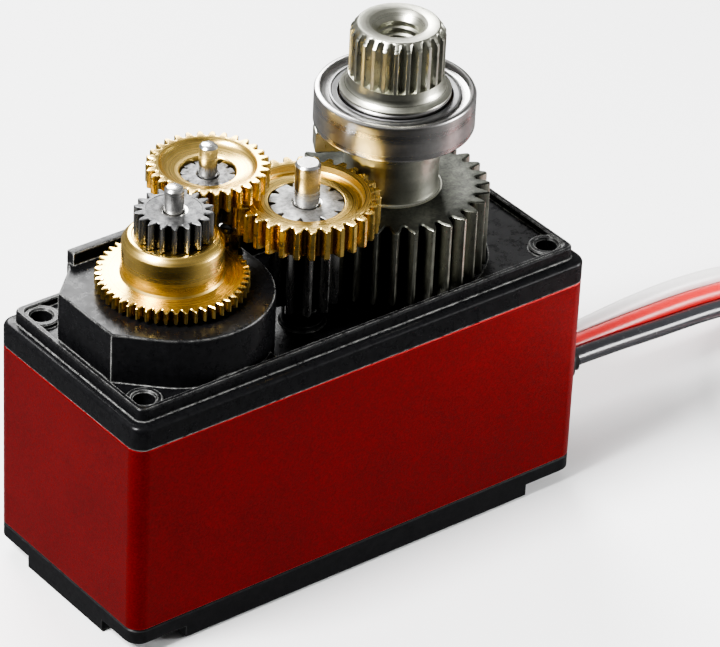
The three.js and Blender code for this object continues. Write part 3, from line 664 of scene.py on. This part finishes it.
def toothed(name, centre, outline, bottom, top, chamfer, inner):
    """A toothed body. inner runs from the top face inwards, down the bore and out along the underside."""
    angles = [math.atan2(y, x) for x, y in outline]
    cut = offset(outline, chamfer)
    rings = [placed(cut, centre, bottom), placed(outline, centre, bottom + chamfer)]
    rings += [placed(outline, centre, top - chamfer), placed(cut, centre, top)]
    rings += [circle(centre, r, z, angles) for r, z in inner]
    return shape(name, *loft(rings, closed=True))


def pitches(teeth_a, centre_a, teeth_b, centre_b):
    share = math.dist(centre_a, centre_b) / (teeth_a + teeth_b)
    return teeth_a * share, teeth_b * share


def meshed(teeth_a, phase_a, centre_a, teeth_b, centre_b):
    line = math.atan2(centre_b[1] - centre_a[1], centre_b[0] - centre_a[0])
    return line + math.pi + 2 * math.pi / teeth_b * (0.5 - (phase_a - line) * teeth_a / (2 * math.pi))


PHASE_D, PHASE_C, PHASE_B, PHASE_A = (math.radians(a) for a in (10.5, 9.9, 2.0, 4.9))
PITCH_D, PITCH_CP = pitches(OUTPUT_TEETH, OUTPUT, THIRD_PINION, THIRD)
PITCH_C, PITCH_BP = pitches(THIRD_TEETH, THIRD, SECOND_PINION, SECOND)
PITCH_B, PITCH_AP = pitches(SECOND_TEETH, SECOND, FIRST_PINION, FIRST)
PITCH_A, PITCH_M = pitches(FIRST_TEETH, FIRST, MOTOR_PINION, MOTOR)


def notched(count, r, depth, phase):
    """A disc's outline with small round-bottomed notches."""
    notch = [(0.36, 0), (0.4, 0.3), (0.44, 0.85), (0.5, 1), (0.56, 0.85), (0.6, 0.3), (0.64, 0)]
    points = []
    for k in range(count):
        start = phase + 2 * math.pi * k / count
        for share, drop in notch:
            a = start + 2 * math.pi / count * share
            points.append(((r - depth * drop) * math.cos(a), (r - depth * drop) * math.sin(a)))
        for share in (0.76, 0.88, 1.0, 1.12, 1.24):
            a = start + 2 * math.pi / count * share
            points.append((r * math.cos(a), r * math.sin(a)))
    return points


# first gear: thin brass wheel with its tall collar, and the steel pinion on it
outline = gear_outline(FIRST_TEETH, 4.7, 4.28, PITCH_A, PHASE_A, 4)
collar = [(3.3, 21.5), (3.2, 21.54), (3.12, 21.66), (3.12, 23.68), (3.1, 23.73), (2.76, 24.12), (2.7, 24.15)]
collar += [(2.52, 24.15), (2.47, 24.1), (0.68, 24.1), (0.66, 24.05), (0.66, 20.72), (0.72, 20.65)]
wheel = toothed("first_wheel", FIRST, outline, 20.65, 21.5, 0.06, collar)
look = metal("brass_first", *BRASS, 0.24, FIRST, teeth=(4.28, 4.7, 21.5))
piece(wheel, "first_gear", "brass", look, "first_gear_wheel", weighted=True)

phase = meshed(SECOND_TEETH, PHASE_B, SECOND, FIRST_PINION, FIRST)
outline = gear_outline(FIRST_PINION, 2.42, 1.9, PITCH_AP, phase)
top = [(1.72, 25.93), (1.7, 25.9), (0.98, 25.86), (0.78, 25.84), (0.68, 25.8), (0.66, 25.75), (0.66, 24.16)]
pinion = toothed("first_pinion", FIRST, outline, 24.16, 25.93, 0.05, top)
faces = ((0.05, 0.05, 0.052), (0.2, 0.2, 0.2))
look = metal("steel_first", *STEEL, 0.24, FIRST, teeth=(1.9, 2.42, 25.93), dull=(0.85, 25.9), faces=faces)
piece(pinion, "first_gear", "steel", look, "first_gear_pinion", weighted=True)

# second gear: brass wheel with a dished face, its steel pinion's notched end lower in the wheel
outline = gear_outline(SECOND_TEETH, 3.8, 3.3, PITCH_B, PHASE_B)
dish = [(3.08, 25.9), (3.0, 25.86), (2.92, 25.7), (2.6, 25.5), (1.95, 25.36), (1.8, 25.34), (1.73, 25.28)]
dish += [(1.73, 24.57)]
wheel = toothed("second_wheel", SECOND, outline, 24.57, 25.9, 0.06, dish)
look = metal("brass_second", *BRASS, 0.26, SECOND, teeth=(3.3, 3.8, 25.9))
piece(wheel, "second_gear", "brass", look, "second_gear_wheel", weighted=True)

phase = meshed(THIRD_TEETH, PHASE_C, THIRD, SECOND_PINION, SECOND)
outline = gear_outline(SECOND_PINION, 2.05, 1.5, PITCH_BP, phase)
pinion = toothed("p", SECOND, outline, 22.3, 24.55, 0.05, [(0.64, 24.55), (0.635, 22.3)])
bore = [(1.2, 25.1), (0.74, 25.1), (0.635, 25.02), (0.635, 24.4)]
insert = toothed("s", SECOND, notched(SECOND_PINION, 1.69, 0.34, phase), 24.4, 25.1, 0.05, bore)
pinion = merge("second_pinion", pinion, insert)
faces = ((0.01, 0.01, 0.01), (0.3, 0.3, 0.3))
# the dark steel's tone, then the painted shade for the gaps of the insert's notches
tones = ((0.2, 0.2, 0.2), (0.01, 0.01, 0.01))
look = metal("dark_steel", *tones, 0.3, SECOND, teeth=(1.35, 1.69, 25.1), dull=(0.72, 25.08), faces=faces)
piece(pinion, "second_gear", "dark_steel", look, "second_gear_pinion", weighted=True)

# third gear: thick brass wheel, its steel pinion's notched end about level with the floor of its dish
outline = gear_outline(THIRD_TEETH, 4.52, 3.98, PITCH_C, PHASE_C)
dish = [(3.6, 24.4), (3.54, 24.37), (3.46, 24.0), (3.38, 23.93), (2.4, 23.91), (2.35, 23.88), (2.35, 22.4)]
wheel = toothed("third_wheel", THIRD, outline, 22.4, 24.4, 0.06, dish)
look = metal("brass_third", *BRASS, 0.26, THIRD, teeth=(3.98, 4.52, 24.4))
piece(wheel, "third_gear", "brass", look, "third_gear_wheel", weighted=True)

phase = meshed(OUTPUT_TEETH, PHASE_D, OUTPUT, THIRD_PINION, THIRD)
outline = gear_outline(THIRD_PINION, 2.19, 1.36, PITCH_CP, phase, 7)
pinion = toothed("p", THIRD, outline, 16.82, 22.38, 0.06, [(0.87, 22.38), (0.86, 16.82)])
bore = [(1.7, 23.85), (1.0, 23.85), (0.86, 23.78), (0.86, 22.3)]
insert = toothed("s", THIRD, notched(THIRD_PINION, 2.32, 0.42, phase), 22.3, 23.85, 0.04, bore)
pinion = merge("third_pinion", pinion, insert)
faces = ((0.13, 0.13, 0.13), (0.45, 0.45, 0.44))
look = metal("steel_third", *STEEL, 0.26, THIRD, teeth=(1.36, 2.19, 22.4), dull=(0.95, 23.82), faces=faces)
piece(pinion, "third_gear", "steel", look, "third_gear_pinion", weighted=True)

# motor pinion
phase = meshed(FIRST_TEETH, PHASE_A, FIRST, MOTOR_PINION, MOTOR)
outline = gear_outline(MOTOR_PINION, 0.93, 0.52, PITCH_M, phase, 4)
pinion = toothed("motor_gear", MOTOR, outline, 20.5, 21.9, 0.03, [(0.44, 21.9), (0.42, 20.5)])
look = metal("brass_motor", *BRASS, 0.25, MOTOR)
piece(pinion, "motor_rotor", "brass", look, "motor_pinion", weighted=True)

# the three pins
for name, centre, r, top in (
    ("first", FIRST, 0.6, 27.45),
    ("second", SECOND, 0.575, 27.2),
    ("third", THIRD, 0.8, 26.66),
):
    bottom = 14.5 if name == "third" else 15.8
    profile = [(0, bottom), (r, bottom), (r, top - 0.16), (r - 0.02, top - 0.13), (r - 0.15, top - 0.01)]
    profile += [(r - 0.17, top), (0, top)]
    made = turned(f"{name}_pin", centre, profile, 48)
    look = metal(f"pin_{name}", *BRIGHT, 0.22, centre, marks=0.03)
    piece(made, "case", "bright_steel", look, f"{name}_gear_pin", weighted=True)


# ---------------------------------------------------------------- output gear and bearing
def output_gear():
    """The output gear and its shaft, with the spline, the screw's bore, the journal and the neck's lug."""
    outline = gear_outline(OUTPUT_TEETH, 6.2, 5.36, PITCH_D, PHASE_D, 7)
    inner = [(4.9, 22.15), (4.75, 22.1), (3.35, 22.08), (3.1, 22.1), (2.98, 22.2), (2.95, 22.35)]
    inner += [(2.95, 24.7), (3.0, 24.76), (3.12, 24.8), (3.12, 26.25), (3.05, 26.35), (2.97, 26.35)]
    inner += [(2.97, 28.86), (3.4, 28.86), (3.46, 28.9), (3.44, 28.97), (3.26, 29.1), (3.1, 29.3)]
    inner += [(3.01, 29.6), (2.96, 30.0), (2.6, 30.1), (2.4, 30.1), (2.4, 16.85)]
    gear = toothed("g", OUTPUT, outline, 16.85, 22.15, 0.09, inner)
    teeth = []
    for tooth in range(SPLINE_TEETH):
        middle = 2 * math.pi * tooth / SPLINE_TEETH
        pitch = 2 * math.pi / SPLINE_TEETH
        shares = [(2.58, -0.46), (2.6, -0.42), (2.93, -0.17), (2.95, -0.13), (2.95, 0.13), (2.93, 0.17)]
        shares += [(2.6, 0.42), (2.58, 0.46), (2.57, 0.5)]
        teeth += [(r * math.cos(middle + s * pitch), r * math.sin(middle + s * pitch)) for r, s in shares]
    angles = [math.atan2(y, x) for x, y in teeth]
    rings = [placed(teeth, OUTPUT, 29.9), placed(teeth, OUTPUT, 32.8)]
    for r, z in ((2.62, 33.24), (2.56, 33.31), (2.5, 33.35)):
        scales = [min(1, r / math.hypot(x, y)) for x, y in teeth]
        rings.append(placed([(x * k, y * k) for (x, y), k in zip(teeth, scales)], OUTPUT, z))
    bore = [(1.84, 33.35), (1.78, 33.32), (1.3, 32.85), (1.25, 32.78)]
    z = 32.6
    while z > 26.0:
        bore += [(1.25, z), (1.4, z - 0.12), (1.4, z - 0.2), (1.25, z - 0.32)]
        z -= 0.5
    bore += [(1.25, 25.2), (0.4, 24.8), (0.4, 24.4), (2.3, 24.4), (2.3, 29.9)]
    rings += [circle(OUTPUT, r, z, angles) for r, z in bore]
    spline = shape("s", *loft(rings, closed=True))
    profile = [(0.98, 14.2), (1.62, 14.2), (1.7, 14.28), (1.7, 16.95), (2.5, 16.95), (2.5, 17.4)]
    profile += [(0.98, 17.4)]
    journal = turned("j", OUTPUT, profile)
    lug = block("l", (2.6, -0.65, 24.65), (4.9, 0.65, 26.1), 0.14)
    lug.data.transform(
        Matrix.Translation((OUTPUT[0] * MM, OUTPUT[1] * MM, 0)) @ Matrix.Rotation(math.radians(150), 4, "Z")
    )
    return merge("output_shaft", gear, spline, journal, lug)


look = metal("output_steel", *GREENISH, 0.3, OUTPUT, 0.12, teeth=(5.36, 6.2, 22.15), dull=(3.2, 22.15))
piece(output_gear(), "output", "steel", look, "output_gear", weighted=True)

RACE = metal("bearing_steel", (0.46, 0.45, 0.44), (0.3, 0.3, 0.3), 0.27, OUTPUT, 0.06)
outer = [(4.1, 26.7), (4.6, 26.68), (4.66, 26.4), (4.82, 26.38), (4.94, 26.44), (5.0, 26.58), (5.0, 28.63)]
outer += [(4.94, 28.77), (4.82, 28.83), (4.68, 28.83), (4.63, 28.78), (4.58, 28.5), (4.5, 28.46)]
outer += [(4.1, 28.46), (4.1, 28.1), (4.36, 27.6), (4.1, 27.1)]
race = turned("outer_race", OUTPUT, outer, 128)
piece(race, "bearing_outer", "bright_steel", RACE, "bearing_outer_ring", weighted=True)
inner = [(3.0, 26.38), (3.38, 26.38), (3.45, 26.45), (3.45, 27.15), (3.24, 27.6), (3.45, 28.05)]
inner += [(3.45, 28.74), (3.38, 28.83), (3.06, 28.83), (3.0, 28.77)]
race = turned("inner_race", OUTPUT, inner, 128)
piece(race, "output", "bright_steel", RACE, "bearing_inner_ring", weighted=True)
for name, z, sign in (("top", 28.41, 1), ("bottom", 26.8, -1)):
    up = [(3.56, z), (4.08, z), (4.08, z + 0.2), (3.98, z + 0.22), (3.9, z + 0.14), (3.62, z + 0.12)]
    up += [(3.56, z + 0.16)]
    profile = up if sign > 0 else [(r, 2 * z - h) for r, h in up]
    made = turned(f"{name}_shield", OUTPUT, profile)
    look = metal(f"shield_{name}", (0.2, 0.2, 0.2), (0.1, 0.1, 0.1), 0.4, OUTPUT)
    piece(made, "bearing_outer", "steel", look, f"bearing_{name}_shield")


# ---------------------------------------------------------------- case
def sleeve():
    """Extruded red tube with eased rims, the screw posts inside and the slot for the lead."""
    outer = rounded(CASE_X, CASE_Y, CASE_R, 12)
    inner = rounded(CASE_X - 0.8, CASE_Y - 0.8, 0.5, 12)
    rings = [level(offset(outer, 0.1), 1.9), level(outer, 2.0), level(outer, 14.98)]
    rings += [level(offset(outer, 0.04), 15.07), level(offset(outer, 0.12), 15.1)]
    rings += [level(offset(inner, -0.08), 15.1), level(inner, 15.02)]
    rings += [level(inner, 1.98), level(offset(inner, -0.08), 1.9)]
    made = shape("sleeve_tube", *loft(rings, closed=True))
    carve(made, block("slot", (15.0, -2.3, 2.9), (19.0, 2.3, 5.1), 0.02))
    posts = []
    for x, y in CORNERS:
        sx, sy = math.copysign(1, x), math.copysign(1, y)
        xs = sorted((x - sx * 1.15, sx * (CASE_X - 0.4)))
        ys = sorted((y - sy * 1.15, sy * (CASE_Y - 0.4)))
        post = block("post", (xs[0], ys[0], 3.0), (xs[1], ys[1], 9.0), 0.1)
        hole = turned("hole", (x, y), [(0, 2.0), (0.62, 2.0), (0.62, 8.2), (0, 8.2)], 32)
        posts.append(carve(post, hole))
    return merge("case_sleeve", made, *posts)


piece(sleeve(), "case", "red_aluminium", RED, "center_case", weighted=True)


def plateau_outline(steps=44):
    """The raised deck's outline: an arc about the first gear on the near side, straight elsewhere."""
    reach = 6.0 * math.sqrt(0.5)
    points = [(-15.87, -0.42 - reach + (-9.55 - reach + 15.87))]
    for i in range(steps + 1):
        a = math.radians(225 + 135 * i / steps)
        points.append((-9.55 + 6.0 * math.cos(a), -0.42 + 6.0 * math.sin(a)))
    return points + [(-3.55, 5.65), (-13.4, 5.65), (-13.9, 4.85), (-15.87, 3.0)]


def well_outline(steps=40):
    """The gear well's outline: straight sides and a half circle about the output."""
    half = CASE_Y - RIM_INSET - RIM_WIDTH
    points = [(-6.0, -half)]
    for i in range(steps + 1):
        a = math.radians(-90 + 180 * i / steps)
        points.append((OUTPUT[0] + half * math.cos(a), half * math.sin(a)))
    return points + [(-6.0, half)]


def tray():
    """The gear tray: spigot, rounded shoulder, ledge, raised rim, deck, deep gear well and motor plateau."""
    spigot = rounded(CASE_X - 0.86, CASE_Y - 0.86, 0.5, 12)
    wall = rounded(CASE_X, CASE_Y, CASE_R, 12)
    rim = rounded(CASE_X - RIM_INSET, CASE_Y - RIM_INSET, 0.6, 12)
    deck = rounded(CASE_X - 1.11, CASE_Y - 1.11, 0.45, 12)
    rings = [level(spigot, 14.0), level(spigot, 15.1)]
    rings += [level(offset(wall, 0.05), 15.1), level(wall, 15.16)]
    rings += [level(wall, 16.38), level(offset(wall, 0.05), 16.52), level(offset(wall, 0.16), 16.64)]
    rings += [level(offset(wall, 0.32), 16.7)]
    rings += [level(offset(rim, -0.08), 16.7), level(offset(rim, -0.02), 16.73)]
    rings += [level(rim, 16.8), level(rim, 17.42)]
    rings += [level(offset(rim, 0.04), 17.5), level(offset(rim, 0.12), 17.55)]
    rings += [level(offset(deck, -0.1), 17.55), level(offset(deck, -0.03), 17.5)]
    rings += [level(deck, 17.42), level(deck, 17.1)]
    made = shape("tray", *loft(rings))
    carve(made, prism("well", well_outline(), 15.3, 19.0))
    inside = prism("plug", rounded(CASE_X - 1.76, CASE_Y - 1.76, 0.4, 6), 13.0, 14.3)
    carve(made, inside)
    carve(made, prism("plateau", plateau_outline(), 15.2, 20.45, 0.22), "UNION")
    carve(made, block("rib", (-13.4, 4.95, 20.2), (-4.4, 5.65, 21.3), 0.12), "UNION")
    boss = [(0, 15.2), (1.5, 15.2), (1.5, 15.4), (1.32, 15.6), (1.3, 16.6), (1.22, 16.7), (0, 16.7)]
    carve(made, turned("boss", THIRD, boss, 48), "UNION")
    for corner in CORNERS:
        lip = [(0, 16.9), (1.15, 16.9), (1.15, 17.32), (1.07, 17.4), (0, 17.4)]
        carve(made, turned("lip", corner, lip, 40), "UNION")
    for corner in CORNERS:
        hole = [(0, 13.0), (0.69, 13.0), (0.69, 17.28), (0.83, 17.42), (0.83, 19.0), (0, 19.0)]
        carve(made, turned("hole", corner, hole, 40))
    for centre, r, top in ((FIRST, 0.62, 20.45), (SECOND, 0.6, 20.45), (THIRD, 0.82, 16.7)):
        bottom = 14.4 if centre is THIRD else 15.7
        hole = [(0, bottom), (r, bottom), (r, top - 0.08), (r + 0.1, top + 0.02)]
        hole += [(r + 0.1, top + 1), (0, top + 1)]
        carve(made, turned("hole", centre, hole, 40))
    shaft = [(0, 13.0), (1.45, 13.0), (1.45, 15.0), (1.05, 15.0), (1.05, 20.35), (1.17, 20.47)]
    shaft += [(1.17, 22), (0, 22)]
    carve(made, turned("hole", MOTOR, shaft, 40))
    seat = [(0, 13.0), (2.43, 13.0), (2.43, 16.4), (0, 16.4)]
    carve(made, turned("seat", OUTPUT, seat, 64))
    return made


made = piece(tray(), "case", "black_plastic", BLACK, "upper_case", weighted=True)
made.name = "gear_tray"


def foot_outline():
    """A cross: the middle of the bottom without its four corners."""
    x, y, c = 13.4, 4.0, 0.45
    quarter = [(CASE_X, y), (x + c, y), (x, y + c), (x, CASE_Y)]
    points = []
    for sx, sy in ((1, 1), (-1, 1), (-1, -1), (1, -1)):
        part = quarter if sx * sy > 0 else quarter[::-1]
        points += [(sx * px, sy * py) for px, py in part]
    return points


def bottom():
    """The bottom cover: a plate with a raised middle foot, a lip inside the sleeve and four screw seats."""
    plate = rounded(CASE_X, CASE_Y, CASE_R, 12)
    rings = [level(offset(plate, 0.15), 0.8), level(plate, 0.95)]
    rings += [level(plate, 1.82), level(offset(plate, 0.08), 1.9)]
    lip = rounded(CASE_X - 0.86, CASE_Y - 0.86, 0.5, 12)
    inside = rounded(CASE_X - 1.76, CASE_Y - 1.76, 0.4, 12)
    rings += [level(lip, 1.9), level(lip, 2.9), level(inside, 2.9), level(inside, 1.9)]
    made = shape("cover", *loft(rings))
    carve(made, prism("foot", foot_outline(), 0.0, 1.2, 0.0, 0.14), "UNION")
    carve(made, block("gap", (15.1, -2.3, 2.3), (17.3, 2.3, 4.0), 0.01))
    for corner in CORNERS:
        hole = turned("hole", corner, [(0, -1), (0.69, -1), (0.69, 4), (0, 4)], 32)
        carve(made, hole)
    return made


made = piece(bottom(), "case", "black_plastic", BLACK_PLAIN, "bottom_cover", weighted=True)
made.name = "base_cover"


def case_screw(centre):
    low = 0.13
    profile = [(0, low), (0.72, low), (0.95, low + 0.06), (1.1, low + 0.2), (1.15, low + 0.36), (1.15, 0.74)]
    profile += [(1.1, 0.78), (0.57, 0.78)]
    z = 1.0
    while z < 6.9:
        profile += [(0.57, z), (0.46, z + 0.14), (0.46, z + 0.18), (0.57, z + 0.32)]
        z += 0.36
    profile += [(0.45, 7.3), (0.08, 7.8), (0, 7.8)]
    made = turned("screw", centre, profile, 40)
    for size in ((0.6, 0.13), (0.13, 0.6)):
        low_corner = (centre[0] - size[0], centre[1] - size[1], low - 0.3)
        high_corner = (centre[0] + size[0], centre[1] + size[1], low + 0.34)
        carve(made, block("slot", low_corner, high_corner, 0.01))
    return made


for i, corner in enumerate(CORNERS):
    made = piece(case_screw(corner), "case", "dark_steel", SCREW, f"bottom_screw_{i + 1}")
    made.name = f"case_screw_{i + 1}"

bushing = [(1.75, 14.1), (2.4, 14.1), (2.4, 15.31), (3.1, 15.31), (3.2, 15.4), (3.2, 16.6), (3.1, 16.7)]
bushing += [(1.75, 16.7)]
piece(turned("bronze_bush", OUTPUT, bushing, 72), "case", "bronze", BRONZE, "output_bushing")

# ---------------------------------------------------------------- CAD nodes that stay: the pieces inside
KEPT = {
    "motor_can": CHROME,
    "motor_shaft": CHROME,
    "potentiometer_shaft": CHROME,
    "motor_bearing": BRONZE,
    "bearing_ball_cage": BRONZE,
    "motor_magnet": GREY,
    "capacitor": GREY,
    "motor_winding": COPPER,
    "motor_brush_1": COPPER,
    "motor_brush_2": COPPER,
    "potentiometer_wiper": COPPER,
    "motor_commutator": GOLD,
    "motor_terminal_1": GOLD,
    "motor_terminal_2": GOLD,
    "potentiometer_pin_1": GOLD,
    "potentiometer_pin_2": GOLD,
    "potentiometer_pin_3": GOLD,
    "resonator": GOLD,
    "motor_end_cap": BLACK_PLAIN,
    "control_chip": CHIP,
    "motor_driver_chip": CHIP,
    "circuit_board": BOARD,
    "potentiometer_body": BOARD,
}
for name, material in KEPT.items():
    slots = NODES[name].data.materials
    slots.clear()
    slots.append(material)


# ---------------------------------------------------------------- floor, lights, world
FLOOR_GAP = 0.00002  # metres under the object, so that the two faces don't fight
FLOOR_TONE = 0.93


def make_floor():
    data = bpy.data.meshes.new("floor")
    half = 3.0
    corners = [(-half, -half, 0), (half, -half, 0), (half, half, 0), (-half, half, 0)]
    data.from_pydata(corners, [], [(0, 1, 2, 3)])
    floor = bpy.data.objects.new("floor", data)
    floor.location.z = -FLOOR_GAP
    bpy.context.scene.collection.objects.link(floor)
    paint = Nodes("pale_floor")
    paint.set(Roughness=0.9)
    paint.shader.inputs["Base Color"].default_value = (FLOOR_TONE, FLOOR_TONE, FLOOR_TONE, 1.0)
    floor.data.materials.append(paint.material)
    floor.visible_glossy = False


def area_light(name, at, target, size, power):
    data = bpy.data.lights.new(name, "AREA")
    data.shape = "RECTANGLE"
    data.size = size
    data.size_y = size
    data.energy = power
    light = bpy.data.objects.new(name, data)
    light.location = at
    direction = Vector(target) - Vector(at)
    light.rotation_euler = direction.to_track_quat("-Z", "Y").to_euler()
    bpy.context.scene.collection.objects.link(light)


def make_world():
    """A pale studio for the camera, and a dim one, darkest towards one side, for light and reflections."""
    world = bpy.data.worlds.new("studio")
    bpy.context.scene.world = world
    bpy.context.scene.view_settings.look = "AgX - Medium High Contrast"
    world.use_nodes = True
    tree = world.node_tree
    background = tree.nodes["Background"]
    background.inputs["Color"].default_value = (1.0, 1.0, 1.0, 1.0)
    place = tree.nodes.new("ShaderNodeTexCoord")
    towards = tree.nodes.new("ShaderNodeVectorMath")
    towards.operation = "DOT_PRODUCT"
    towards.inputs[1].default_value = (-0.66, -0.75, 0.0)
    dark_side = tree.nodes.new("ShaderNodeMapRange")
    dark_side.inputs["From Min"].default_value = 0.35
    dark_side.inputs["From Max"].default_value = 0.9
    dark_side.inputs["To Min"].default_value = 0.3
    dark_side.inputs["To Max"].default_value = 0.02
    rays = tree.nodes.new("ShaderNodeLightPath")
    pale = tree.nodes.new("ShaderNodeMath")
    pale.operation = "MAXIMUM"
    tree.links.new(place.outputs["Generated"], towards.inputs[0])
    tree.links.new(towards.outputs["Value"], dark_side.inputs["Value"])
    tree.links.new(dark_side.outputs["Result"], pale.inputs[0])
    tree.links.new(rays.outputs["Is Camera Ray"], pale.inputs[1])
    tree.links.new(pale.outputs["Value"], background.inputs["Strength"])


make_floor()
make_world()
area_light("key", (-0.22, 0.02, 0.28), (-0.005, 0, 0.02), 0.12, 3.8)
area_light("right", (0.09, -0.07, 0.03), (0.016, -0.007, 0.008), 0.04, 0.16)
area_light("back", (0.1, 0.26, 0.2), (0, 0, 0.02), 0.14, 1.5)
